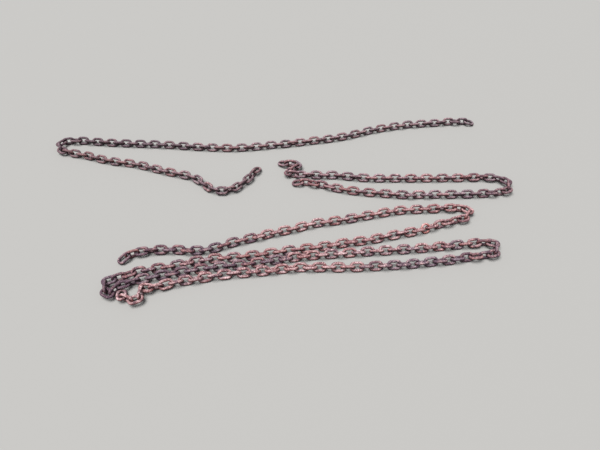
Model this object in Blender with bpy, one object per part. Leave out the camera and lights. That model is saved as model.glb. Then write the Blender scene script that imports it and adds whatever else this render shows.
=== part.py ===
"""A heap of rusty welded steel chain: three lengths laid on level ground in long folded runs.

Metres, +Z up, +X along the runs, +Y towards the far length. The origin is on the ground,
under the middle of the heap's box.
"""

import math

import bmesh
import bpy
from mathutils import Vector

# A link is an oval bent from round bar and welded shut
WIRE = 0.013                # diameter of the bar
PITCH = 0.040               # length of a link's hole, which is the pitch of the chain
HOLE_WIDTH = 0.0185         # width of a link's hole
RING_WIRE = 0.010           # diameter of the joining ring's bar
RING_HOLE = 0.029           # hole of the round joining ring
SQUARE_SHARE = math.sqrt(math.pi) / 2  # side of the square bar with a round bar's area, over its diameter
BEARING_GAP = 0.0003        # clearance where the links of two sections bear on each other
LOOSE_GAP = 0.0005          # clearance between the bars of two links at a sharp bend
HOLE_CORNER = 0.0050        # length over which a hole narrows to the bar that bears at its end

# How the chain lies
LEAN = 45.0                 # degrees a link leans along a run; its neighbour leans the other way
TWIST = 4.0                 # slow wander of that lean, degrees either way
TWIST_STEP = 0.37           # radians of that wander from one link to the next
GENTLE_BEND = 18.0          # degrees of bend up to which links keep their full lean
SHARP_BEND = 36.0           # degrees of bend at which one link lies flat and the next stands upright
LEAN_STEP = 12.0            # most degrees that the lean changes from one link to the next
MOST_LINKS = 300            # more links than any of the lengths has
LAYING_PASSES = 6           # times the spacing of the joints is worked out again from their bends
BEARING_PASSES = 3          # times the links' directions are worked out again from their bearings

# How the links are shared out over the sections
SECTION_LINKS = 14          # most links in one section
SMOOTH_STEPS = 12           # steps of the smooth route between two of its points

RUST_DARK = (0.085, 0.048, 0.040, 1.0)
RUST_BROWN = (0.120, 0.062, 0.045, 1.0)
RUST_RED = (0.150, 0.075, 0.052, 1.0)
RUST_ORANGE = (0.230, 0.095, 0.050, 1.0)
RUST_METALLIC = 0.2
RUST_ROUGHNESS = 0.8

# Routes of the three lengths, in plan, counted in link pitches. Each is a list chosen by eye.
FAR_ROUTE = (
    (27.9, 14.55), (24.85, 14.6), (21.9, 14.3), (18.8, 13.95), (15.85, 13.35), (12.9, 12.55), (10, 11.45),
    (7.15, 10.65), (4.4, 10.15), (1.65, 9.6), (-1.1, 9.2), (-3.8, 8.75), (-6.5, 8.6), (-10.6, 8.8),
    (-14.8, 9.25), (-18.95, 9.5), (-23.15, 9.75), (-26, 10.05), (-28.6, 10.1), (-29.75, 9.7), (-29.9, 8.85),
    (-29.15, 7.95), (-27.9, 7.5), (-25.75, 7.1), (-23.5, 6.3), (-21.35, 5.75), (-18.6, 5.25), (-15.8, 4.35),
    (-13.05, 3.45), (-11.3, 3), (-10.05, 2.35), (-8.7, 1.1), (-7.75, 0.3), (-6.6, 0.15), (-5.4, 0.3),
    (-4.6, 1.15), (-3.7, 2.1), (-3.05, 3.15), (-2.6, 4.15), (-2.15, 5.3),
)
MIDDLE_ROUTE = (
    (0.35, 5.7), (1.25, 5.2), (2.45, 5.4), (2.85, 4.45), (1.7, 3.9), (1.4, 2.9), (2.6, 3.05), (3.65, 3.15),
    (4.6, 3.1), (5.55, 3.1), (6.85, 3.1), (7.85, 3.05), (9.35, 2.8), (10.85, 2.6), (13.15, 2.5),
    (15.7, 2.5), (18.85, 2.5), (22.05, 2.55), (25.85, 2.65), (27.95, 2.4), (29, 1.75), (29.3, 0.85),
    (28.3, 0.05), (26.95, -0.2), (23.2, -0.4), (20.75, -0.45), (18.3, -0.5), (15.85, -0.55), (14.05, -0.35),
    (12.2, -0.15), (10.4, 0.05), (8.55, 0.4), (6.75, 0.95), (5.5, 1.25), (4.5, 1.55), (3.5, 1.7),
    (2.5, 1.75), (1.9, 1.8),
)
FRONT_ROUTE = (
    (-16.35, -10.65), (-15.95, -10.1), (-15.35, -9.8), (-14.45, -9.45), (-13.4, -9.3), (-12.35, -9.15),
    (-11.25, -9.1), (-10.15, -9.15), (-9, -9.3), (-7.95, -9.25), (-6.85, -9.05), (-5.8, -8.65),
    (-4.55, -8.1), (-2.95, -7.6), (-1.3, -7.1), (0.75, -6.45), (2.55, -6), (3.9, -5.45), (5.3, -5.1),
    (6.7, -4.9), (8.25, -4.6), (10.15, -4.15), (12.05, -3.7), (14.1, -3.25), (16.3, -3), (18.45, -2.9),
    (20.85, -2.8), (22.5, -2.9), (23.15, -3.65), (22.4, -4.45), (21.2, -4.75), (19.6, -5.25), (18.4, -5.6),
    (17.5, -6), (16.45, -6.35), (14.85, -6.7), (13.1, -7.1), (10.8, -7.7), (8.55, -8.05), (6.3, -8.5),
    (4.1, -8.9), (1.9, -9.2), (-0.25, -9.6), (-2.4, -9.95), (-4.55, -10.2), (-6.7, -10.4), (-8.75, -10.85),
    (-10.8, -11.4), (-12.85, -11.8), (-14, -12.1), (-14.75, -12.4), (-15.55, -12.8), (-16.4, -13.15),
    (-17.2, -13.55), (-16.75, -14.8), (-15.75, -15), (-15.7, -13.95), (-14.8, -13.7), (-13.85, -13.3),
    (-12.6, -12.8), (-11.6, -12.6), (-9.6, -12.15), (-7.55, -11.75), (-5.5, -11.45), (-3.4, -11.2),
    (-1.3, -10.85), (0.85, -10.45), (3, -10.05), (5.7, -9.8), (7.35, -9.65), (9.55, -9.45), (11.3, -9.3),
    (13.3, -9.15), (15.15, -9), (17.3, -8.8), (19.45, -8.55), (21.6, -8.3), (23.2, -8.15), (24.4, -8.25),
    (25, -8.8), (24.45, -9.6), (23.25, -9.95), (21.8, -10.1), (20.25, -10.3), (19, -10.55), (16.9, -10.8),
    (14.75, -11.1), (12.55, -11.25), (10.1, -11.4), (7.75, -11.5), (5.1, -11.5), (3, -11.55), (1.4, -11.7),
    (-0.15, -11.9), (-1.75, -12.1), (-3.3, -12.25), (-4.85, -12.45), (-6.4, -12.7), (-8.4, -13.15),
    (-9.4, -13.3), (-10.4, -13.6), (-11.35, -14), (-12.35, -14.25), (-13.35, -14.2), (-12.9, -15.3),
    (-13.65, -15.75), (-14.75, -15.55), (-15.25, -14.25),
)
RING_INDEX = 47             # the joining ring's place in the front length, counted from its start

# Places at the sharp bends where two links only lie against each other: each is the number of
# the link behind it. A section begins there. Each list is chosen by eye for its route.
FAR_FOLDS = (58, 59, 60, 86)
MIDDLE_FOLDS = (1, 2, 3, 4, 5, 32, 33)
FRONT_FOLDS = (1, 41, 42, 83, 84, 85, 86, 126, 127, 128, 166, 167, 168, 169)

UP = Vector((0.0, 0.0, 1.0))


def smooth_route(points):
    """Read close points in metres from a smooth curve through a route's own points."""
    knots = [Vector(p) for p in points]
    knots = [2 * knots[0] - knots[1]] + knots + [2 * knots[-1] - knots[-2]]
    curve = []
    for before, start, end, after in zip(knots, knots[1:], knots[2:], knots[3:]):
        for step in range(SMOOTH_STEPS):
            t = step / SMOOTH_STEPS
            curve.append(0.5 * (2 * start + (end - before) * t
                                + (2 * before - 5 * start + 4 * end - after) * t ** 2
                                + (3 * start - before - 3 * end + after) * t ** 3))
    curve.append(knots[-2])
    return [Vector((p.x, p.y, 0.0)) * PITCH for p in curve]


def next_on_route(curve, place, reach):
    """Walk on from a place on the route to the first point at a straight distance from it."""
    index, start = place
    while index < len(curve) - 1:
        a, b = curve[index] - start, curve[index + 1] - start
        if b.length >= reach:
            run = b - a
            half = a.dot(run) / run.length_squared
            root = half ** 2 - (a.length_squared - reach ** 2) / run.length_squared
            return index, curve[index] + run * (math.sqrt(root) - half)
        index += 1
    return None


def link_size(index, ring_index):
    """Length and width of a link's hole, and half of its round bar's diameter."""
    if index == ring_index:
        return RING_HOLE, RING_HOLE, RING_WIRE / 2
    return PITCH, HOLE_WIDTH, WIRE / 2


def link_rolls(joints):
    """Roll of each link about its own length, in radians; neighbours are a quarter turn apart.

    Along a run all links lean. At a free end and in a sharp bend they lie flat and stand upright
    in turn, because a chain folds only about a bar that stands upright. Both end links lie flat:
    where the count is even, the links behind the last run turn from their lean the other way.
    """
    count = len(joints) - 1
    upright = [0.0] * count
    for index in (0, 1, count - 2, count - 1):
        upright[index] = 1.0
    for index in range(1, count):
        bend = math.degrees((joints[index + 1] - joints[index]).angle(joints[index] - joints[index - 1]))
        share = min(max((bend - GENTLE_BEND) / (SHARP_BEND - GENTLE_BEND), 0.0), 1.0)
        upright[index - 1] = max(upright[index - 1], share)
        upright[index] = max(upright[index], share)
    step = LEAN_STEP / LEAN
    for order in (range(1, count), range(count - 2, -1, -1)):
        for index in order:
            upright[index] = max(upright[index], upright[index - order.step] - step)
    last_leaning = max(i for i in range(count) if upright[i] == 0.0)
    rolls = []
    for i, share in enumerate(upright):
        lean = (LEAN + TWIST * math.sin(i * TWIST_STEP)) * (1.0 - share)
        if i > last_leaning and count % 2 == 0:
            lean += 2 * LEAN * share
        rolls.append(math.radians(lean + 90.0 * (i % 2)))
    return rolls


def joints_along(curve, reaches):
    """Points on the route where links bear on each other."""
    places = [(0, curve[0])]
    for reach in reaches:
        place = next_on_route(curve, places[-1], reach)
        if place is None:
            break
        places.append(place)
    return [point.copy() for _, point in places]


def link_axes(joints, index, roll):
    """Unit vectors along a link, across it in the plane of its oval, and square to that plane."""
    along = (joints[index + 1] - joints[index]).normalized()
    level = UP.cross(along).normalized()
    across = level * math.cos(roll) + along.cross(level) * math.sin(roll)
    return along, across, along.cross(across)


def press_directions(axes):
    """Direction in which each link's end presses on the next: square to both of the crossing bars."""
    presses = [axes[0][0]]
    for (along_a, across_a, _), (along_b, across_b, _) in zip(axes, axes[1:]):
        press = across_a.cross(across_b).normalized()
        presses.append(press if press.dot(along_a + along_b) > 0 else -press)
    presses.append(axes[-1][0])
    return presses


def bar_reach(press, frame, half, is_loose):
    """Distance from the bearing to the middle of a link's bar; a square bar that turns reaches further."""
    if not is_loose:
        return half
    _, along, _, square = frame
    turned = abs(press.dot(along)) + abs(press.dot(square))
    return half * SQUARE_SHARE * turned + LOOSE_GAP / 2


def lay_length(route, folds, ring_index=-1):
    """Place the links of one length of chain along its route."""
    curve = smooth_route(route)
    sizes = [link_size(i, ring_index) for i in range(MOST_LINKS)]
    reaches = [size[0] for size in sizes]
    for _ in range(LAYING_PASSES):
        joints = joints_along(curve, reaches)
        count = len(joints) - 1
        rolls = link_rolls(joints)
        length = bear_links(joints, rolls, folds, sizes[:count])
        reaches[:count] = [joint_spacing(length, i) for i in range(count)]
    lift_joints(length, rolls)
    length = bear_links(joints, rolls, folds, sizes[:count])
    for index, free, held in ((0, 0, 1), (count - 1, count, count - 1)):
        away = (joints[free] - joints[held]).normalized()
        joints[free] = joints[held] + away * joint_spacing(length, index)
    return length


def joint_spacing(length, index):
    """Straight distance between the joints at a link's two ends, which its own length sets."""
    hole, _, half = length["sizes"][index]
    near, far = length["press"][index:index + 2]
    bars = near * length["reach"][index][1] + far * length["reach"][index + 1][0]
    share = bars.dot(length["axes"][index][0])
    return math.sqrt((hole + 2 * half) ** 2 - bars.length_squared + share ** 2) - share


def bear_links(joints, rolls, folds, sizes):
    """Work out how the links bear on each other at each joint."""
    count = len(rolls)
    axes = [link_axes(joints, i, rolls[i]) for i in range(count)]
    pairs = [(max(joint - 1, 0), min(joint, count - 1)) for joint in range(count + 1)]
    length = {"joints": joints, "axes": axes, "press": press_directions(axes), "sizes": sizes,
              "loose": [joint in folds for joint in range(count + 1)],
              "reach": [tuple(sizes[i][2] for i in pair) for pair in pairs]}
    for _ in range(BEARING_PASSES):
        frames = [link_frame(length, i) for i in range(count)]
        length["reach"] = [tuple(bar_reach(press, frames[i], sizes[i][2], loose) for i in pair)
                           for press, pair, loose in zip(length["press"], pairs, length["loose"])]
    return length


def lying_height(roll, size):
    """Height of a link's axis when its lowest corner is on the ground."""
    _, width, half = size
    upright, flat = abs(math.sin(roll)), abs(math.cos(roll))
    return (width / 2 + half) * upright + half * SQUARE_SHARE * (upright + flat)


def lift_joints(length, rolls):
    """Raise each joint until both of its links lie on the ground or above it."""
    joints, count = length["joints"], len(rolls)
    heights = [lying_height(roll, size) for roll, size in zip(rolls, length["sizes"])]
    for i in range(1, count):
        rise = abs(length["press"][i].z)
        joints[i].z = max(heights[i - 1] + rise * length["reach"][i][0], heights[i] + rise * length["reach"][i][1])
    slope = WIRE / PITCH
    for free, held in ((0, 1), (count, count - 1)):
        joints[free].z = (WIRE / 2 + slope * joints[held].z) / (1 + slope)


def link_frame(length, index):
    """Centre of a link, and its directions along, across and square to its oval."""
    near = length["joints"][index] - length["press"][index] * length["reach"][index][1]
    far = length["joints"][index + 1] + length["press"][index + 1] * length["reach"][index + 1][0]
    along = (far - near).normalized()
    across = length["axes"][index][1]
    across = (across - along * across.dot(along)).normalized()
    return (near + far) / 2, along, across, along.cross(across)


def oval(length, width, corner_length, corner_width):
    """Eight corners of an oval in its own plane, round from the far end."""
    x, y, u, v = length / 2, width / 2, length / 2 - corner_length, corner_width / 2
    return [(x, -v), (x, v), (u, y), (-u, y), (-x, v), (-x, -v), (-u, -y), (u, -y)]


def bearing_square(length, joint, shift):
    """Corners of the square where the bars of two links cross, by their signs across the two links."""
    before, after = length["axes"][joint - 1][1], length["axes"][joint][1]
    half_before, half_after = (SQUARE_SHARE * length["sizes"][i][2] for i in (joint - 1, joint))
    centre = length["joints"][joint] + length["press"][joint] * shift
    return {(a, b): centre + before * a * half_after + after * b * half_before
            for a in (-1, 1) for b in (-1, 1)}


def end_corners(length, index, end, squares):
    """Corners of the inner end of a link's hole, by its own signs: across it, and to front or back.

    Where another link bears there, the hole narrows to that link's bar.
    """
    joint = index if end < 0 else index + 1
    centre, along, across, square = link_frame(length, index)
    if joint not in squares:
        hole, width, half = length["sizes"][index]
        thin = half * SQUARE_SHARE
        inner_end = centre + along * end * (hole / 2 + half - thin)
        return {(a, b): inner_end + (across * a * width + square * b * 2 * thin) / 2
                for a in (-1, 1) for b in (-1, 1)}
    other = length["axes"][joint - 1 if end < 0 else joint][1]
    flip = 1 if other.dot(square) > 0 else -1
    if end > 0:
        return {(a, b * flip): corner for (a, b), corner in squares[joint].items()}
    return {(b, a * flip): corner for (a, b), corner in squares[joint].items()}


def add_link(mesh, length, index, corner_vert, squares, shared):
    """Add one link's faces to a mesh; where a bearing is shared the two links are one body."""
    centre, along, across, square = link_frame(length, index)
    hole, width, half = length["sizes"][index]
    thin = half * SQUARE_SHARE
    outer_length, outer_width = (size + 2 * (half + thin) for size in (hole, width))
    hole_length, hole_width = (size + 2 * (half - thin) for size in (hole, width))
    cut = outer_width * (1 - math.sqrt(0.5))
    outer = oval(outer_length, outer_width, cut, outer_width - 2 * cut)
    inner = oval(hole_length, hole_width, HOLE_CORNER, 2 * thin)
    near, far = end_corners(length, index, -1, squares), end_corners(length, index, 1, squares)
    rim, hole_rim = {}, {}
    for face in (-1, 1):
        lift = square * face * thin
        rim[face] = [mesh.verts.new(centre + along * x + across * y + lift) for x, y in outer]
        hole_rim[face] = [None] * 8
        for k in (2, 3, 6, 7):
            hole_rim[face][k] = mesh.verts.new(centre + along * inner[k][0] + across * inner[k][1] + lift)
        for k, corners, sign in ((0, far, -1), (1, far, 1), (4, near, 1), (5, near, -1)):
            hole_rim[face][k] = corner_vert(corners[sign, face])
    for k in range(8):
        j = (k + 1) % 8
        mesh.faces.new((rim[1][k], rim[1][j], hole_rim[1][j], hole_rim[1][k]))
        mesh.faces.new((rim[-1][j], rim[-1][k], hole_rim[-1][k], hole_rim[-1][j]))
        mesh.faces.new((rim[-1][k], rim[-1][j], rim[1][j], rim[1][k]))
        if (k == 0 and index + 1 in shared) or (k == 4 and index in shared):
            continue
        mesh.faces.new((hole_rim[1][k], hole_rim[1][j], hole_rim[-1][j], hole_rim[-1][k]))


def section_mesh(name, length, first, last):
    """Mesh of the links from first to last, as one closed body."""
    mesh = bmesh.new()
    made = {}

    def corner_vert(place):
        key = tuple(place)
        if key not in made:
            made[key] = mesh.verts.new(place)
        return made[key]

    shared = range(first + 1, last + 1)
    squares = {joint: bearing_square(length, joint, 0.0) for joint in shared}
    for joint, shift in ((first, -BEARING_GAP / 2), (last + 1, BEARING_GAP / 2)):
        if 0 < joint < len(length["sizes"]) and not length["loose"][joint]:
            squares[joint] = bearing_square(length, joint, shift)
    for index in range(first, last + 1):
        add_link(mesh, length, index, corner_vert, squares, shared)
    bmesh.ops.triangulate(mesh, faces=mesh.faces)
    data = bpy.data.meshes.new(name)
    mesh.to_mesh(data)
    mesh.free()
    return data


def split_sections(length, ring_index):
    """First and last link of each section; end links and the ring are sections of their own."""
    count = len(length["sizes"])
    alone = {0, count - 1, ring_index}
    sections, start = [], 0
    for index in range(1, count):
        full = index - start == SECTION_LINKS
        if full or length["loose"][index] or index in alone or start in alone:
            sections.append((start, index - 1))
            start = index
    sections.append((start, count - 1))
    return sections


def rust_material(name, colour):
    """Rough rusty steel."""
    material = bpy.data.materials.new(name)
    material.use_nodes = True
    shader = material.node_tree.nodes["Principled BSDF"]
    shader.inputs["Base Color"].default_value = colour
    shader.inputs["Metallic"].default_value = RUST_METALLIC
    shader.inputs["Roughness"].default_value = RUST_ROUGHNESS
    return material


def add_length(name, route, folds, colour, ring_index=-1):
    """Build one length of chain as named sections, and return its objects."""
    length = lay_length(route, folds, ring_index)
    count = len(length["sizes"])
    objects = []
    fold_links = runs = 0
    for first, last in split_sections(length, ring_index):
        shade = colour
        if first == 0:
            label = "end_link_a"
        elif last == count - 1:
            label = "end_link_b"
        elif first == ring_index:
            label, shade = "joining_ring", RUST_ORANGE
        elif first == last:
            fold_links += 1
            label = "fold_link_%02d" % fold_links
        else:
            runs += 1
            label = "run_%02d" % runs
        node = "%s_%s" % (name, label)
        part = bpy.data.objects.new(node, section_mesh(node, length, first, last))
        part.data.materials.append(rust_material(node, shade))
        bpy.context.collection.objects.link(part)
        objects.append(part)
    return objects


def centre_on_ground(objects):
    """Move every mesh so that the middle of the heap's box is over the origin."""
    places = [vert.co for part in objects for vert in part.data.vertices]
    middle_x = (min(p.x for p in places) + max(p.x for p in places)) / 2
    middle_y = (min(p.y for p in places) + max(p.y for p in places)) / 2
    lowest = min(p.z for p in places)
    for vert in (vert for part in objects for vert in part.data.vertices):
        vert.co -= Vector((middle_x, middle_y, lowest))


def main():
    """Clear the scene and build the heap."""
    for old in list(bpy.data.objects):
        bpy.data.objects.remove(old, do_unlink=True)
    objects = add_length("far_chain", FAR_ROUTE, FAR_FOLDS, RUST_DARK)
    objects += add_length("middle_chain", MIDDLE_ROUTE, MIDDLE_FOLDS, RUST_BROWN)
    objects += add_length("front_chain", FRONT_ROUTE, FRONT_FOLDS, RUST_RED, RING_INDEX)
    centre_on_ground(objects)


main()
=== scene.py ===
"""The looks of the heap of rusty steel chain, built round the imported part.

Each link is modelled as real chain is: round bar bent to an oval, with a weld on one side, hammered
and pitted. It lies where the part's own link lies, because both are worked out from the same routes
by the same rules. Metres, in the part's frame: +X along the runs, +Y away from the camera, +Z up.
"""

import math
import random

import bpy
import numpy as np
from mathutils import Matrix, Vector, noise


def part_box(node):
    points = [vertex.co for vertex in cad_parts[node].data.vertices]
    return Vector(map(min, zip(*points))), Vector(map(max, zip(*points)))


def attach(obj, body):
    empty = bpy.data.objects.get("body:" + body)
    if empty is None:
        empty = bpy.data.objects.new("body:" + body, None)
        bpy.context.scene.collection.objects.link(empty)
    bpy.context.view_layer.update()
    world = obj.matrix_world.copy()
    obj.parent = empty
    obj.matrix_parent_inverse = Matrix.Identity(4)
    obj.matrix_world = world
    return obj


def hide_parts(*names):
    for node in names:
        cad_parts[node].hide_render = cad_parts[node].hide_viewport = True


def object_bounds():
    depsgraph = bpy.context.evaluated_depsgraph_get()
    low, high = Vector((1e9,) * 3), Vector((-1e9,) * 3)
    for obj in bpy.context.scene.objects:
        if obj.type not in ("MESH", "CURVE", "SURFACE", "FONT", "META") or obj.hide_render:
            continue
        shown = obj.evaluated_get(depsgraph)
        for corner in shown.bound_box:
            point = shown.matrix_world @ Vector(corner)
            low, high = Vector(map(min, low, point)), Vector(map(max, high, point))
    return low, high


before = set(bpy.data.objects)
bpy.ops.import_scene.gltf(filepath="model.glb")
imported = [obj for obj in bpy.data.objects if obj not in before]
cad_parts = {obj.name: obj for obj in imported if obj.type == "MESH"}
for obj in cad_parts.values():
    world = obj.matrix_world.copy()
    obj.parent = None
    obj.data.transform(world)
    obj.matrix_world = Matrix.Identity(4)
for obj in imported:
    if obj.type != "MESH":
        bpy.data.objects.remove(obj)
cad_bounds = [list(corner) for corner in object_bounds()]

# A link is an oval bent from round bar and welded shut
WIRE = 0.013                # diameter of the bar
PITCH = 0.040               # length of a link's hole, which is the pitch of the chain
HOLE_WIDTH = 0.0185         # width of a link's hole
RING_WIRE = 0.010           # diameter of the joining ring's bar
RING_HOLE = 0.029           # hole of the round joining ring
SQUARE_SHARE = math.sqrt(math.pi) / 2  # side of the solids' square bar, in bar diameters
LOOSE_GAP = 0.0005          # clearance between the bars of two links at a sharp bend

# How the chain lies
SMOOTH_STEPS = 12           # steps of the smooth route between two of its points
LEAN = 45.0                 # degrees a link leans along a run; its neighbour leans the other way
TWIST = 4.0                 # slow wander of that lean, degrees either way
TWIST_STEP = 0.37           # radians of that wander from one link to the next
GENTLE_BEND = 18.0          # degrees of bend up to which links keep their full lean
SHARP_BEND = 36.0           # degrees of bend at which one link lies flat and the next upright
LEAN_STEP = 12.0            # most degrees that the lean changes from one link to the next
MOST_LINKS = 300            # more links than any of the lengths has
LAYING_PASSES = 6           # times the spacing of the joints is worked out again from their bends
BEARING_PASSES = 3          # times the links' directions are worked out again from their bearings

# How the links are shared out over the sections
SECTION_LINKS = 14          # most links in one section

# How a link is modelled
BAR_SEEN = 0.0122           # diameter of the rusted round bar
RING_BAR_SEEN = 0.0098      # diameter of the joining ring's rusted bar
ARC_STEPS = 18              # steps round each end of a link
SIDE_STEPS = 9              # steps along each straight side of a link
BAR_STEPS = 16              # steps round the bar
WELD_SWELL = 0.0007         # height of the weld above the bar
WELD_REACH = 0.0045         # length of the weld, each way from its middle
WELD_SEAM = 0.0004          # depth of the seam at the middle of the weld
SEAM_REACH = 0.0010         # length of the seam, each way
HAMMERING = 0.018           # share by which the bar is out of round
WAVES_ROUND = 2             # waves of that round the bar
WAVES_ALONG = 3             # waves of the bar's thickness once round the link
BEND_WEAR = 0.0004          # depth of the wear on the inside of each end
LUMPS = ((90.0, 0.00035), (260.0, 0.00018))  # lumps of rust: how many in a metre, and their height
SCABS_PER_METRE = 150.0
SCAB_START = 0.22           # noise from which a scab of rust rises
SCAB_HEIGHT = 0.0008        # its rise where the noise is 1 more than that
NOISE_REACH = 50.0          # metres over which chance spreads the links in the lumps' noise

# How a link differs from its neighbours
ROLL_WANDER = 22.0          # slow wander of a link's turn about its own length, degrees at noise 1
ROLL_STEP = 0.17            # step in that noise from one link to the next
ROLL_JITTER = 5.0           # degrees that chance adds to the turn, either way
LONE_ROLL = 0.3             # share of that turn at fold links, end links and the joining ring
WARMTH_JITTER = 0.25        # how far a link's warmth strays from its stretch's by chance
DUST_JITTER = 0.25          # share by which a link's dust strays from its stretch's by chance
SEED = 7

# How the rust looks along each length: (link, warmth, dust). Warmth goes from dark purple at
# about 0 to bright salmon at 1, and dust from bare at 0 to dusty at about 1.
FAR_LOOK = (
    (0, 0.35, 0.75), (12, 0.35, 0.65), (20, 0.40, 0.75), (34, 0.50, 0.80), (40, 0.30, 0.65),
    (46, 0.05, 0.45), (57, 0.00, 0.35), (61, 0.45, 0.45), (70, 0.60, 0.50), (78, 0.60, 0.70),
    (84, 0.40, 0.60), (90, 0.35, 0.50),
)
MIDDLE_LOOK = (
    (0, 0.30, 0.45), (5, 0.40, 0.75), (12, 0.35, 0.65), (18, 0.55, 0.85), (24, 0.60, 0.75),
    (28, 0.30, 0.50), (33, 0.15, 0.40), (38, 0.25, 0.50), (43, 0.45, 0.85), (50, 0.65, 0.75),
    (54, 0.50, 0.50), (60, 0.50, 0.45),
)
FRONT_LOOK = (
    (0, 0.45, 0.40), (8, 0.30, 0.38), (14, 0.50, 0.50), (18, 0.80, 0.80), (27, 0.85, 0.80),
    (32, 0.80, 0.75), (37, 0.70, 0.60), (46, 0.75, 0.65), (47, 1.00, 1.00), (48, 0.80, 0.70),
    (53, 0.80, 0.70), (58, 0.85, 0.60), (66, 0.70, 0.60), (74, 0.60, 0.60), (80, 0.30, 0.40),
    (84, -0.10, 0.20), (90, 0.20, 0.40), (95, 0.30, 0.35), (101, 0.40, 0.40), (106, 0.70, 0.80),
    (112, 0.75, 0.95), (117, 0.60, 0.80), (122, 0.40, 0.50), (129, 0.35, 0.45), (134, 0.10, 0.50),
    (141, 0.60, 0.65), (148, 0.80, 0.85), (154, 0.80, 0.85), (160, 0.55, 0.65), (165, 0.65, 0.95),
    (169, 0.70, 1.05),
)

# Camera, in the frame of the routes, and surroundings
CAMERA_PLACE = (0.120, -1.604, 1.555)
CAMERA_PITCH = 48.0         # degrees below the horizon
CAMERA_LENS = 27.0          # millimetres, on a sensor 36 millimetres wide
FLOOR_REACH = 30.0          # from the middle of the floor to each side
FLOOR_COLOUR = (0.34, 0.332, 0.317, 1.0)
FLOOR_ROUGHNESS = 0.9
LIGHT_FROM = (-0.25, -0.05, 1.0)  # direction that the light comes from
LIGHT_STRENGTH = 4.5
LIGHT_SOFTNESS = 42.0       # degrees across the light
SURROUND_COLOUR = (0.86, 0.90, 0.96, 1.0)
SURROUND_STRENGTH = 0.36

# Colours of each slot's rust: pits, painted shade (for faces turned down and near the ground),
# cool, warm and fresh rust, grey and pink dust (which also paints the light on top faces)
RING_SLOT = "ring_rust"
RUST_COLOURS = {
    "far_rust": (
        (0.014, 0.007, 0.010), (0.044, 0.023, 0.028), (0.124, 0.070, 0.090), (0.260, 0.112, 0.114),
        (0.350, 0.115, 0.078), (0.44, 0.37, 0.41), (0.60, 0.42, 0.45)),
    "middle_rust": (
        (0.016, 0.007, 0.010), (0.038, 0.017, 0.021), (0.125, 0.060, 0.082), (0.290, 0.104, 0.108),
        (0.460, 0.125, 0.074), (0.58, 0.49, 0.54), (0.76, 0.51, 0.53)),
    "front_rust": (
        (0.015, 0.004, 0.006), (0.020, 0.007, 0.010), (0.096, 0.042, 0.072), (0.275, 0.086, 0.088),
        (0.470, 0.128, 0.074), (0.68, 0.59, 0.65), (0.88, 0.62, 0.63)),
    RING_SLOT: (
        (0.040, 0.009, 0.009), (0.100, 0.022, 0.020), (0.360, 0.090, 0.085), (0.500, 0.130, 0.115),
        (0.640, 0.190, 0.150), (0.80, 0.55, 0.54), (0.92, 0.58, 0.56)),
}
RUBBED_COLOUR = (0.070, 0.055, 0.056)

# What the rust follows: values kept at each vertex, and noises over the part's own places, each
# with its waves in a metre, its detail and its roughness
VERTEX_VALUES = ("bend", "rubbed", "seam", "warmth", "dust")
RUST_NOISES = {
    "patches": (48.0, 4.0, 0.6),
    "tints": (75.0, 3.0, 0.6),
    "blotches": (150.0, 5.0, 0.65),
    "flakes": (270.0, 6.0, 0.7),
    "grains": (560.0, 4.0, 0.7),
}
PIT_CELLS = 190.0           # cells in a metre, each with a pit at its middle

# Sums of those values, each value times its weight
RUST_SUMS = {
    "depth": {"cells": 1.0, "grains": 0.9},
    "kind": {"patches": 1.3, "warmth": 0.5},
    "cover": {"blotches": 1.0, "patches": 0.8},
    "pinkness": {"tints": 1.0, "height": 6.0, "warmth": 0.35},
}

# Strength of each effect: the product of its values, each spread smoothly from its first two
# numbers to its last two
RUST_EFFECTS = {
    "pits": {"depth": (0.82, 0.52, 0.0, 1.0), "patches": (0.40, 0.58, 0.0, 1.0)},
    "warm": {"kind": (0.72, 1.08, 0.0, 1.0)},
    "fresh": {"blotches": (0.52, 0.64, 0.0, 1.0), "warmth": (0.0, 0.8, 0.15, 0.9)},
    "dark": {"grains": (0.53, 0.36, 0.0, 0.85)},
    # Painted shade: faces turned down and the bar near the ground take the dark painted shade
    # colour
    "painted_underside_shade": {"upward": (0.40, -0.45, 0.0, 0.85)},
    "painted_ground_shade": {"height": (0.010, 0.002, 0.0, 0.50)},
    # Dust on faces turned up, which also paints the light on the top faces; less of it at the link
    # ends and near the ground paints the shade there
    "dust_and_painted_light": {"upward": (0.10, 0.88, 0.0, 1.0), "height": (0.004, 0.012, 0.3, 1.0),
                "bend": (0.0, 1.0, 1.0, 0.6), "cover": (0.78, 1.04, 0.10, 1.0),
                "grains": (0.36, 0.54, 0.45, 1.0)},
    "pink": {"pinkness": (0.68, 0.95, 0.0, 1.0)},
    "bright": {"rubbed": (0.25, 0.85, 0.0, 1.0), "grains": (0.30, 0.55, 0.0, 0.75)},
    "dull": {"grains": (0.3, 0.7, 0.92, 0.66)},
    "crust": {"blotches": (0.49, 0.53, 0.0, 0.30)},
}
PIT_SHARE = 0.75            # how far a pit takes the pits' colour
SEAM_SHARE = 0.6            # how far a weld's seam takes it
ROUGHNESS = {"dull": 1.0, "bright": -0.3}  # a sum, as above
RELIEF = {"flakes": 1.0, "grains": 0.7, "crust": 1.0, "pits": -0.35}
RELIEF_DEPTH = 0.0020       # depth of the relief where its sum is 1
RUST_SPECULAR = 0.4
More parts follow.
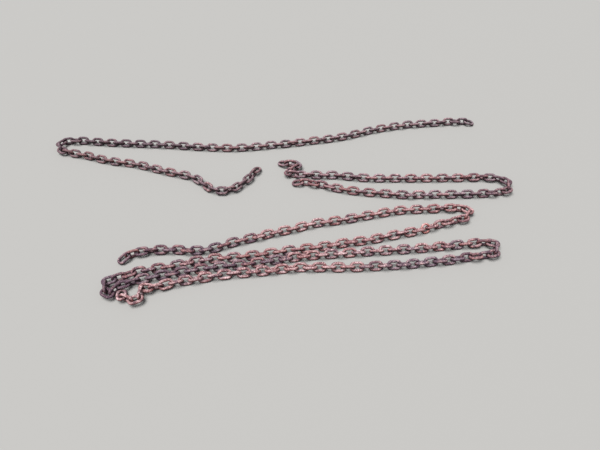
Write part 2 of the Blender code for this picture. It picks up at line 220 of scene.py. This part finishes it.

# Routes of the three lengths, in plan, counted in link pitches. Each is a given list.
FAR_ROUTE = (
    (27.9, 14.55), (24.85, 14.6), (21.9, 14.3), (18.8, 13.95), (15.85, 13.35), (12.9, 12.55),
    (10, 11.45), (7.15, 10.65), (4.4, 10.15), (1.65, 9.6), (-1.1, 9.2), (-3.8, 8.75), (-6.5, 8.6),
    (-10.6, 8.8), (-14.8, 9.25), (-18.95, 9.5), (-23.15, 9.75), (-26, 10.05), (-28.6, 10.1),
    (-29.75, 9.7), (-29.9, 8.85), (-29.15, 7.95), (-27.9, 7.5), (-25.75, 7.1), (-23.5, 6.3),
    (-21.35, 5.75), (-18.6, 5.25), (-15.8, 4.35), (-13.05, 3.45), (-11.3, 3), (-10.05, 2.35),
    (-8.7, 1.1), (-7.75, 0.3), (-6.6, 0.15), (-5.4, 0.3), (-4.6, 1.15), (-3.7, 2.1), (-3.05, 3.15),
    (-2.6, 4.15), (-2.15, 5.3),
)
MIDDLE_ROUTE = (
    (0.35, 5.7), (1.25, 5.2), (2.45, 5.4), (2.85, 4.45), (1.7, 3.9), (1.4, 2.9), (2.6, 3.05),
    (3.65, 3.15), (4.6, 3.1), (5.55, 3.1), (6.85, 3.1), (7.85, 3.05), (9.35, 2.8), (10.85, 2.6),
    (13.15, 2.5), (15.7, 2.5), (18.85, 2.5), (22.05, 2.55), (25.85, 2.65), (27.95, 2.4), (29, 1.75),
    (29.3, 0.85), (28.3, 0.05), (26.95, -0.2), (23.2, -0.4), (20.75, -0.45), (18.3, -0.5),
    (15.85, -0.55), (14.05, -0.35), (12.2, -0.15), (10.4, 0.05), (8.55, 0.4), (6.75, 0.95),
    (5.5, 1.25), (4.5, 1.55), (3.5, 1.7), (2.5, 1.75), (1.9, 1.8),
)
FRONT_ROUTE = (
    (-16.35, -10.65), (-15.95, -10.1), (-15.35, -9.8), (-14.45, -9.45), (-13.4, -9.3),
    (-12.35, -9.15), (-11.25, -9.1), (-10.15, -9.15), (-9, -9.3), (-7.95, -9.25), (-6.85, -9.05),
    (-5.8, -8.65), (-4.55, -8.1), (-2.95, -7.6), (-1.3, -7.1), (0.75, -6.45), (2.55, -6),
    (3.9, -5.45), (5.3, -5.1), (6.7, -4.9), (8.25, -4.6), (10.15, -4.15), (12.05, -3.7),
    (14.1, -3.25), (16.3, -3), (18.45, -2.9), (20.85, -2.8), (22.5, -2.9), (23.15, -3.65),
    (22.4, -4.45), (21.2, -4.75), (19.6, -5.25), (18.4, -5.6), (17.5, -6), (16.45, -6.35),
    (14.85, -6.7), (13.1, -7.1), (10.8, -7.7), (8.55, -8.05), (6.3, -8.5), (4.1, -8.9), (1.9, -9.2),
    (-0.25, -9.6), (-2.4, -9.95), (-4.55, -10.2), (-6.7, -10.4), (-8.75, -10.85), (-10.8, -11.4),
    (-12.85, -11.8), (-14, -12.1), (-14.75, -12.4), (-15.55, -12.8), (-16.4, -13.15),
    (-17.2, -13.55), (-16.75, -14.8), (-15.75, -15), (-15.7, -13.95), (-14.8, -13.7),
    (-13.85, -13.3), (-12.6, -12.8), (-11.6, -12.6), (-9.6, -12.15), (-7.55, -11.75),
    (-5.5, -11.45), (-3.4, -11.2), (-1.3, -10.85), (0.85, -10.45), (3, -10.05), (5.7, -9.8),
    (7.35, -9.65), (9.55, -9.45), (11.3, -9.3), (13.3, -9.15), (15.15, -9), (17.3, -8.8),
    (19.45, -8.55), (21.6, -8.3), (23.2, -8.15), (24.4, -8.25), (25, -8.8), (24.45, -9.6),
    (23.25, -9.95), (21.8, -10.1), (20.25, -10.3), (19, -10.55), (16.9, -10.8), (14.75, -11.1),
    (12.55, -11.25), (10.1, -11.4), (7.75, -11.5), (5.1, -11.5), (3, -11.55), (1.4, -11.7),
    (-0.15, -11.9), (-1.75, -12.1), (-3.3, -12.25), (-4.85, -12.45), (-6.4, -12.7), (-8.4, -13.15),
    (-9.4, -13.3), (-10.4, -13.6), (-11.35, -14), (-12.35, -14.25), (-13.35, -14.2), (-12.9, -15.3),
    (-13.65, -15.75), (-14.75, -15.55), (-15.25, -14.25),
)
RING_INDEX = 47             # the joining ring's place in the front length, counted from its start
NO_RING = -1                # place of the ring in a length that has none

# Places at the sharp bends where two links only lie against each other: each is the number of
# the link behind it. A section begins there. Each list is chosen for its route.
FAR_FOLDS = (58, 59, 60, 86)
MIDDLE_FOLDS = (1, 2, 3, 4, 5, 32, 33)
FRONT_FOLDS = (1, 41, 42, 83, 84, 85, 86, 126, 127, 128, 166, 167, 168, 169)

UP = Vector((0.0, 0.0, 1.0))


def smooth_route(points):
    """Read close points in metres from a smooth curve through a route's own points."""
    knots = [Vector(p) for p in points]
    knots = [2 * knots[0] - knots[1]] + knots + [2 * knots[-1] - knots[-2]]
    curve = []
    for before, start, end, after in zip(knots, knots[1:], knots[2:], knots[3:]):
        for step in range(SMOOTH_STEPS):
            t = step / SMOOTH_STEPS
            curve.append(0.5 * (2 * start + (end - before) * t
                                + (2 * before - 5 * start + 4 * end - after) * t ** 2
                                + (3 * start - before - 3 * end + after) * t ** 3))
    curve.append(knots[-2])
    return [Vector((p.x, p.y, 0.0)) * PITCH for p in curve]


def next_on_route(curve, place, reach):
    """Walk on from a place on the route to the first point at a straight distance from it."""
    index, start = place
    while index < len(curve) - 1:
        a, b = curve[index] - start, curve[index + 1] - start
        if b.length >= reach:
            run = b - a
            half = a.dot(run) / run.length_squared
            root = half ** 2 - (a.length_squared - reach ** 2) / run.length_squared
            return index, curve[index] + run * (math.sqrt(root) - half)
        index += 1
    return None


def link_size(index, ring_index):
    """Length and width of a link's hole, and half of its round bar's diameter."""
    if index == ring_index:
        return RING_HOLE, RING_HOLE, RING_WIRE / 2
    return PITCH, HOLE_WIDTH, WIRE / 2


def link_rolls(joints):
    """Roll of each link about its own length, in radians; neighbours are a quarter turn apart.

    Along a run all links lean. At a free end and in a sharp bend they lie flat and stand upright
    in turn, because a chain folds only about a bar that stands upright. Both end links lie flat:
    where the count is even, the links behind the last run turn from their lean the other way.
    """
    count = len(joints) - 1
    upright = [0.0] * count
    for index in (0, 1, count - 2, count - 1):
        upright[index] = 1.0
    for index in range(1, count):
        before, after = joints[index] - joints[index - 1], joints[index + 1] - joints[index]
        bend = math.degrees(after.angle(before))
        share = min(max((bend - GENTLE_BEND) / (SHARP_BEND - GENTLE_BEND), 0.0), 1.0)
        upright[index - 1] = max(upright[index - 1], share)
        upright[index] = max(upright[index], share)
    step = LEAN_STEP / LEAN
    for order in (range(1, count), range(count - 2, -1, -1)):
        for index in order:
            upright[index] = max(upright[index], upright[index - order.step] - step)
    last_leaning = max(i for i in range(count) if upright[i] == 0.0)
    rolls = []
    for i, share in enumerate(upright):
        lean = (LEAN + TWIST * math.sin(i * TWIST_STEP)) * (1.0 - share)
        if i > last_leaning and count % 2 == 0:
            lean += 2 * LEAN * share
        rolls.append(math.radians(lean + 90.0 * (i % 2)))
    return rolls


def joints_along(curve, reaches):
    """Points on the route where links bear on each other."""
    places = [(0, curve[0])]
    for reach in reaches:
        place = next_on_route(curve, places[-1], reach)
        if place is None:
            break
        places.append(place)
    return [point.copy() for _, point in places]


def link_axes(joints, index, roll):
    """Unit vectors along a link, across it in the plane of its oval, and square to that plane."""
    along = (joints[index + 1] - joints[index]).normalized()
    level = UP.cross(along).normalized()
    across = level * math.cos(roll) + along.cross(level) * math.sin(roll)
    return along, across, along.cross(across)


def press_directions(axes):
    """Direction in which each link's end presses on the next: square to both crossing bars."""
    presses = [axes[0][0]]
    for (along_a, across_a, _), (along_b, across_b, _) in zip(axes, axes[1:]):
        press = across_a.cross(across_b).normalized()
        presses.append(press if press.dot(along_a + along_b) > 0 else -press)
    presses.append(axes[-1][0])
    return presses


def bar_reach(press, lying, half, is_loose):
    """Distance from the bearing to the middle of a link's bar.

    Where the links are loose, the solids' square bars are turned, and so reach further.
    """
    if not is_loose:
        return half
    _, along, _, square = lying
    turned = abs(press.dot(along)) + abs(press.dot(square))
    return half * SQUARE_SHARE * turned + LOOSE_GAP / 2


def lay_length(route, folds, ring_index=NO_RING):
    """Place the links of one length of chain along its route."""
    curve = smooth_route(route)
    sizes = [link_size(i, ring_index) for i in range(MOST_LINKS)]
    reaches = [size[0] for size in sizes]
    for _ in range(LAYING_PASSES):
        joints = joints_along(curve, reaches)
        count = len(joints) - 1
        rolls = link_rolls(joints)
        length = bear_links(joints, rolls, folds, sizes[:count])
        reaches[:count] = [joint_spacing(length, i) for i in range(count)]
    lift_joints(length, rolls)
    length = bear_links(joints, rolls, folds, sizes[:count])
    for index, free, held in ((0, 0, 1), (count - 1, count, count - 1)):
        away = (joints[free] - joints[held]).normalized()
        joints[free] = joints[held] + away * joint_spacing(length, index)
    return length


def joint_spacing(length, index):
    """Straight distance between the joints at a link's two ends, which its own length sets."""
    hole, _, half = length["sizes"][index]
    near, far = length["press"][index:index + 2]
    bars = near * length["reach"][index][1] + far * length["reach"][index + 1][0]
    share = bars.dot(length["axes"][index][0])
    return math.sqrt((hole + 2 * half) ** 2 - bars.length_squared + share ** 2) - share


def bear_links(joints, rolls, folds, sizes):
    """Work out how the links bear on each other at each joint."""
    count = len(rolls)
    axes = [link_axes(joints, i, rolls[i]) for i in range(count)]
    pairs = [(max(joint - 1, 0), min(joint, count - 1)) for joint in range(count + 1)]
    length = {"joints": joints, "axes": axes, "press": press_directions(axes), "sizes": sizes,
              "loose": [joint in folds for joint in range(count + 1)],
              "reach": [tuple(sizes[i][2] for i in pair) for pair in pairs]}
    for _ in range(BEARING_PASSES):
        lying = [link_frame(length, i) for i in range(count)]
        length["reach"] = [tuple(bar_reach(press, lying[i], sizes[i][2], loose) for i in pair)
                           for press, pair, loose in zip(length["press"], pairs, length["loose"])]
    return length


def lying_height(roll, size):
    """Height of a link's axis when its round bar lies on the ground."""
    _, width, half = size
    return (width / 2 + half) * abs(math.sin(roll)) + half


def lift_joints(length, rolls):
    """Raise each joint until both of its links lie on the ground or above it."""
    joints, count = length["joints"], len(rolls)
    heights = [lying_height(roll, size) for roll, size in zip(rolls, length["sizes"])]
    for i in range(1, count):
        rise = abs(length["press"][i].z)
        before, after = length["reach"][i]
        joints[i].z = max(heights[i - 1] + rise * before, heights[i] + rise * after)
    slope = WIRE / PITCH
    for free, held in ((0, 1), (count, count - 1)):
        joints[free].z = (WIRE / 2 + slope * joints[held].z) / (1 + slope)


def link_frame(length, index):
    """Centre of a link, and its directions along, across and square to its oval."""
    near = length["joints"][index] - length["press"][index] * length["reach"][index][1]
    far = length["joints"][index + 1] + length["press"][index + 1] * length["reach"][index + 1][0]
    along = (far - near).normalized()
    across = length["axes"][index][1]
    across = (across - along * across.dot(along)).normalized()
    return (near + far) / 2, along, across, along.cross(across)


def split_sections(length, ring_index):
    """First and last link of each section; end links and the ring are sections of their own."""
    count = len(length["sizes"])
    alone = {0, count - 1, ring_index}
    sections, start = [], 0
    for index in range(1, count):
        full = index - start == SECTION_LINKS
        if full or length["loose"][index] or index in alone or start in alone:
            sections.append((start, index - 1))
            start = index
    sections.append((start, count - 1))
    return sections


def section_names(name, length, ring_index):
    """Name, first link and last link of each section, as the part's nodes have them."""
    count = len(length["sizes"])
    fold_links = runs = 0
    for first, last in split_sections(length, ring_index):
        if first == 0:
            label = "end_link_a"
        elif last == count - 1:
            label = "end_link_b"
        elif first == ring_index:
            label = "joining_ring"
        elif first == last:
            fold_links += 1
            label = "fold_link_%02d" % fold_links
        else:
            runs += 1
            label = "run_%02d" % runs
        yield "%s_%s" % (name, label), first, last


def oval_line(straight, radius):
    """Points along the middle of a link's bar, with the directions out of the oval at each."""
    points, outward = [], []
    for side in (1, -1):
        for step in range(ARC_STEPS):
            angle = math.pi * (step / ARC_STEPS - 0.5)
            out = np.array((math.cos(angle), math.sin(angle))) * side
            points.append(np.array((straight / 2 * side, 0.0)) + out * radius)
            outward.append(out)
        for step in range(SIDE_STEPS if straight > 0 else 0):
            share = 0.5 - step / SIDE_STEPS
            points.append(np.array((straight * share, radius)) * side)
            outward.append(np.array((0.0, 1.0 * side)))
    return np.array(points), np.array(outward)


def link_points(size, bar, chance):
    """Vertices of one link in its own frame, ring by ring round its bar, with the wear, the weld's
    seam and the nearness to an end at each; that nearness sets painted shade at the ends.
    """
    hole, width, half = size
    line, outward = oval_line(hole - width, width / 2 + half)
    turns = np.linspace(0.0, 2 * math.pi, BAR_STEPS, endpoint=False)
    phases = [chance.uniform(0.0, 2 * math.pi) for _ in range(2)]
    weld_side = chance.choice((-1, 1))
    along = np.arange(len(line)) / len(line) * 2 * math.pi
    reach = np.full((len(line), BAR_STEPS), bar / 2)
    reach *= 1 + HAMMERING * np.sin(WAVES_ROUND * turns[None, :] + phases[0] + along[:, None])
    reach *= 1 + HAMMERING * np.sin(WAVES_ALONG * along + phases[1])[:, None]
    on_weld_side = line[:, 1] * weld_side > 0
    swell = WELD_SWELL * np.exp(-(line[:, 0] / WELD_REACH) ** 2)
    seam = np.exp(-(line[:, 0] / SEAM_REACH) ** 2) * on_weld_side
    reach += (swell * on_weld_side - WELD_SEAM * seam)[:, None]
    inside = np.clip(-np.cos(turns), 0.0, 1.0)
    at_end = np.clip(np.abs(outward[:, 0]) * 2 - 1, 0.0, 1.0)
    rubbed = at_end[:, None] * inside[None, :]
    reach -= BEND_WEAR * rubbed
    out, up = np.cos(turns) * reach, np.sin(turns) * reach
    flat = outward[:, None, :] * out[:, :, None] + line[:, None, :]
    points = np.concatenate((flat, up[:, :, None]), axis=2).reshape(-1, 3)
    # bend is the nearness to the link's end, which sets painted shade at the ends; rubbed is wear,
    # and seam is the weld's seam
    return points, {"bend": at_end.repeat(BAR_STEPS), "rubbed": rubbed.ravel(),
                    "seam": seam.repeat(BAR_STEPS)}


def link_faces(rings, start):
    """Four-sided faces that join each ring of vertices to the next, round the link."""
    ring = np.arange(rings)[:, None] * BAR_STEPS
    next_ring = (np.arange(rings)[:, None] + 1) % rings * BAR_STEPS
    step = np.arange(BAR_STEPS)[None, :]
    next_step = (step + 1) % BAR_STEPS
    corners = ring + step, next_ring + step, next_ring + next_step, ring + next_step
    return np.stack(corners, axis=2).reshape(-1, 4) + start


def noise_at(points):
    """Noise at some places."""
    return np.array([noise.noise(Vector(place)) for place in points])


def rust_lumps(points):
    """Heights of the lumps and scabs of rust at some places."""
    heights = sum(height * noise_at(points * per_metre) for per_metre, height in LUMPS)
    scabs = np.clip(noise_at(points * SCABS_PER_METRE) - SCAB_START, 0.0, 1.0)
    return heights + SCAB_HEIGHT * scabs


def extra_roll(length, index, lone, chance):
    """The angle in radians by which a link is turned about its own length, away from the solid's.

    The number of links in the length takes another stretch of the noise for each length.
    """
    wander = ROLL_WANDER * noise.noise(Vector((index * ROLL_STEP, len(length["sizes"]), 0.0)))
    degrees = wander + chance.uniform(-ROLL_JITTER, ROLL_JITTER)
    return math.radians(degrees) * (LONE_ROLL if lone else 1.0)


def placed_link(length, index, offset, bar, roll, chance):
    """Vertices of a link where it lies in the part's frame, with the wear and the nearness to an
    end (for painted shade) at each.
    """
    points, wear_and_end_shade = link_points(length["sizes"][index], bar, chance)
    centre, along, across, square = link_frame(length, index)
    side = across * math.cos(roll) + square * math.sin(roll)
    basis = np.array((along, side, along.cross(side)))
    out = points - points.reshape(-1, BAR_STEPS, 3).mean(axis=1).repeat(BAR_STEPS, axis=0)
    out /= np.linalg.norm(out, axis=1)[:, None]
    points = points + out * rust_lumps(points + chance.uniform(0.0, NOISE_REACH))[:, None]
    points = points @ basis + np.array(centre + offset)
    return points + move_inside(points), wear_and_end_shade


def move_inside(points):
    """The smallest move that brings some points inside the solids' box."""
    low, high = np.array(cad_bounds)
    too_low = np.maximum(low - points.min(axis=0), 0.0)
    too_high = np.maximum(points.max(axis=0) - high, 0.0)
    return too_low - too_high


def look_at(stretches, index, chance):
    """How warm and dusty a link's rust is: as its stretch of the chain, and some by chance."""
    links, warmths, dusts = zip(*stretches)
    warmth = np.interp(index, links, warmths) + chance.uniform(-WARMTH_JITTER, WARMTH_JITTER)
    dust = np.interp(index, links, dusts) * chance.uniform(1.0 - DUST_JITTER, 1.0 + DUST_JITTER)
    return float(warmth), float(dust)


def new_piece(name, points, faces, attributes, material):
    """A smooth mesh object with per-vertex attributes and one material."""
    mesh = bpy.data.meshes.new(name)
    mesh.from_pydata(points.tolist(), [], faces.tolist())
    mesh.shade_smooth()
    for key, values in attributes.items():
        layer = mesh.attributes.new(key, "FLOAT", "POINT")
        layer.data.foreach_set("value", values.astype(np.float32))
    mesh.materials.append(material)
    piece = bpy.data.objects.new(name, mesh)
    bpy.context.scene.collection.objects.link(piece)
    return piece


def build_section(node, slot, material, length, offset, links, stretches, chance):
    """One piece for a section of the chain, which stands for the section's own node."""
    bar = RING_BAR_SEEN if slot == RING_SLOT else BAR_SEEN
    all_points, all_faces = [], []
    attributes = {key: [] for key in VERTEX_VALUES}
    start = 0
    for index in links:
        roll = extra_roll(length, index, len(links) == 1, chance)
        points, values = placed_link(length, index, offset, bar, roll, chance)
        for key, look in zip(("warmth", "dust"), look_at(stretches, index, chance)):
            values[key] = np.full(len(points), look)
        for key in VERTEX_VALUES:
            attributes[key].append(values[key])
        all_points.append(points)
        all_faces.append(link_faces(len(points) // BAR_STEPS, start))
        start += len(points)
    attributes = {key: np.concatenate(values) for key, values in attributes.items()}
    points, faces = np.concatenate(all_points), np.concatenate(all_faces)
    piece = new_piece("visual_" + node, points, faces, attributes, material)
    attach(piece, "root")
    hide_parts(node)


def add_noise(tree, place, scale, detail, roughness):
    """Noise over the part's own places."""
    node = tree.nodes.new("ShaderNodeTexNoise")
    for key, value in (("Scale", scale), ("Detail", detail), ("Roughness", roughness)):
        node.inputs[key].default_value = value
    tree.links.new(place, node.inputs["Vector"])
    return node.outputs["Fac"]


def add_cells(tree, place, scale):
    """Distance from the middle of the nearest of many small cells."""
    node = tree.nodes.new("ShaderNodeTexVoronoi")
    node.inputs["Scale"].default_value = scale
    tree.links.new(place, node.inputs["Vector"])
    return node.outputs["Distance"]


def add_range(tree, value, *ends):
    """Spread a value from one range over another, smoothly and within its ends."""
    node = tree.nodes.new("ShaderNodeMapRange")
    node.interpolation_type = "SMOOTHSTEP"
    for key, end in zip(("From Min", "From Max", "To Min", "To Max"), ends):
        node.inputs[key].default_value = end
    tree.links.new(value, node.inputs["Value"])
    return node.outputs["Result"]


def add_math(tree, operation, *values):
    """One step of arithmetic on values and numbers."""
    node = tree.nodes.new("ShaderNodeMath")
    node.operation = operation
    for socket, value in zip(node.inputs, values):
        if isinstance(value, (int, float)):
            socket.default_value = value
        else:
            tree.links.new(value, socket)
    return node.outputs["Value"]


def add_steps(tree, operation, values):
    """Several values made into one by the same arithmetic, step by step."""
    result = values[0]
    for value in values[1:]:
        result = add_math(tree, operation, result, value)
    return result


def add_sum(tree, seen, weights):
    """The sum of some of the values seen, each times its weight."""
    parts = [add_math(tree, "MULTIPLY", seen[name], weight) for name, weight in weights.items()]
    return add_steps(tree, "ADD", parts)


def add_effect(tree, seen, ranges):
    """The product of some of the values seen, each spread over its own range."""
    parts = [add_range(tree, seen[name], *ends) for name, ends in ranges.items()]
    return add_steps(tree, "MULTIPLY", parts)


def add_mix(tree, factor, low, high):
    """A colour between two colours."""
    node = tree.nodes.new("ShaderNodeMix")
    node.data_type = "RGBA"
    tree.links.new(factor, node.inputs["Factor"])
    for key, colour in (("A", low), ("B", high)):
        socket = next(s for s in node.inputs if s.name == key and s.type == "RGBA")
        if isinstance(colour, tuple):
            socket.default_value = (*colour, 1.0)
        else:
            tree.links.new(colour, socket)
    return next(s for s in node.outputs if s.type == "RGBA")


def add_attribute(tree, name):
    """A number kept at each vertex."""
    node = tree.nodes.new("ShaderNodeAttribute")
    node.attribute_name = name
    return node.outputs["Fac"]


def add_height(tree, source):
    """The upward part of a place or direction."""
    split = tree.nodes.new("ShaderNodeSeparateXYZ")
    tree.links.new(source, split.inputs["Vector"])
    return split.outputs["Z"]


def rust_values(tree):
    """All that the rust and its painted light and shade follow, by name: values kept or seen, their
    sums, and the effects.
    """
    place = tree.nodes.new("ShaderNodeTexCoord").outputs["Object"]
    normal = tree.nodes.new("ShaderNodeNewGeometry").outputs["Normal"]
    seen = {name: add_attribute(tree, name) for name in VERTEX_VALUES}
    seen.update({name: add_noise(tree, place, *form) for name, form in RUST_NOISES.items()})
    seen["cells"] = add_cells(tree, place, PIT_CELLS)
    seen["upward"] = add_height(tree, normal)
    seen["height"] = add_height(tree, place)
    seen.update({name: add_sum(tree, seen, weights) for name, weights in RUST_SUMS.items()})
    seen.update({name: add_effect(tree, seen, ranges) for name, ranges in RUST_EFFECTS.items()})
    return seen


def rust_material(slot):
    """Old rust: cool, warm and fresh patches, painted shade on faces turned down and near the
    ground, dust that also paints the light on top faces, pits and rubbed bends.
    """
    pit, painted_shade_colour, cool, warm, fresh, grey_dust, pink_dust = RUST_COLOURS[slot]
    material = bpy.data.materials.new("visual_" + slot)
    material.use_nodes = True
    tree = material.node_tree
    shader = tree.nodes["Principled BSDF"]
    seen = rust_values(tree)
    colour = add_mix(tree, seen["warm"], cool, warm)
    dust = add_mix(tree, seen["pink"], grey_dust, pink_dust)
    for strength, layer in (
            (seen["fresh"], fresh),
            (seen["dark"], pit),
            # Painted shade on faces turned down and near the ground
            (add_math(tree, "MAXIMUM", seen["painted_underside_shade"], seen["painted_ground_shade"]), painted_shade_colour),
            # Dust, which also paints the light on top faces, with painted shade at the link ends
            # and near the ground
            (add_math(tree, "MULTIPLY", seen["dust"], seen["dust_and_painted_light"]), dust),
            (add_math(tree, "MULTIPLY", seen["pits"], PIT_SHARE), pit),
            (add_math(tree, "MULTIPLY", seen["seam"], SEAM_SHARE), pit),
            (seen["bright"], RUBBED_COLOUR)):
        colour = add_mix(tree, strength, colour, layer)
    bump = tree.nodes.new("ShaderNodeBump")
    bump.inputs["Distance"].default_value = RELIEF_DEPTH
    shader.inputs["Specular IOR Level"].default_value = RUST_SPECULAR
    for source, socket in (
            (colour, shader.inputs["Base Color"]),
            (seen["bright"], shader.inputs["Metallic"]),
            (add_sum(tree, seen, ROUGHNESS), shader.inputs["Roughness"]),
            (add_sum(tree, seen, RELIEF), bump.inputs["Height"]),
            (bump.outputs["Normal"], shader.inputs["Normal"])):
        tree.links.new(source, socket)
    return material


def find_offset():
    """The move from the routes' frame to the part's, as the far length's end link shows it."""
    low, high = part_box("far_chain_end_link_a")
    move = (low + high) / 2 - link_frame(lay_length(FAR_ROUTE, FAR_FOLDS), 0)[0]
    return Vector((move.x, move.y, 0.0))


def build_chain(name, route, folds, ring_index, stretches, materials, offset, chance):
    """All the pieces of one length of chain."""
    length = lay_length(route, folds, ring_index)
    for node, first, last in section_names(name + "_chain", length, ring_index):
        slot = RING_SLOT if first == ring_index else name + "_rust"
        links = range(first, last + 1)
        build_section(node, slot, materials[slot], length, offset, links, stretches, chance)


def add_camera(offset):
    """The camera at the photograph's viewing angle."""
    data = bpy.data.cameras.new("camera")
    data.lens = CAMERA_LENS
    camera = bpy.data.objects.new("camera", data)
    camera.location = Vector(CAMERA_PLACE) + offset
    camera.rotation_euler = (math.radians(90.0 - CAMERA_PITCH), 0.0, 0.0)
    bpy.context.scene.collection.objects.link(camera)
    bpy.context.scene.camera = camera


def add_floor():
    """A plain pale floor."""
    mesh = bpy.data.meshes.new("floor")
    sides = ((-1, -1), (1, -1), (1, 1), (-1, 1))
    corners = [(x * FLOOR_REACH, y * FLOOR_REACH, 0.0) for x, y in sides]
    mesh.from_pydata(corners, [], [(0, 1, 2, 3)])
    material = bpy.data.materials.new("floor")
    material.use_nodes = True
    shader = material.node_tree.nodes["Principled BSDF"]
    shader.inputs["Base Color"].default_value = FLOOR_COLOUR
    shader.inputs["Roughness"].default_value = FLOOR_ROUGHNESS
    mesh.materials.append(material)
    floor = bpy.data.objects.new("floor", mesh)
    bpy.context.scene.collection.objects.link(floor)


def add_light():
    """One broad soft light from overhead."""
    data = bpy.data.lights.new("overhead", "SUN")
    data.energy = LIGHT_STRENGTH
    data.angle = math.radians(LIGHT_SOFTNESS)
    lamp = bpy.data.objects.new("overhead", data)
    lamp.rotation_euler = Vector(LIGHT_FROM).to_track_quat("Z", "Y").to_euler()
    bpy.context.scene.collection.objects.link(lamp)


def add_surround():
    """An even pale surround, and colours shown as they are."""
    world = bpy.data.worlds.new("surround")
    world.use_nodes = True
    background = world.node_tree.nodes["Background"]
    background.inputs["Color"].default_value = SURROUND_COLOUR
    background.inputs["Strength"].default_value = SURROUND_STRENGTH
    bpy.context.scene.world = world
    bpy.context.scene.view_settings.view_transform = "Standard"


def main():
    """Build the chain's pieces, and the camera, floor and light."""
    offset = find_offset()
    add_camera(offset)
    add_floor()
    add_light()
    add_surround()
    materials = {slot: rust_material(slot) for slot in RUST_COLOURS}
    chance = random.Random(SEED)
    for name, route, folds, ring_index, stretches in (
            ("far", FAR_ROUTE, FAR_FOLDS, NO_RING, FAR_LOOK),
            ("middle", MIDDLE_ROUTE, MIDDLE_FOLDS, NO_RING, MIDDLE_LOOK),
            ("front", FRONT_ROUTE, FRONT_FOLDS, RING_INDEX, FRONT_LOOK)):
        build_chain(name, route, folds, ring_index, stretches, materials, offset, chance)


main()
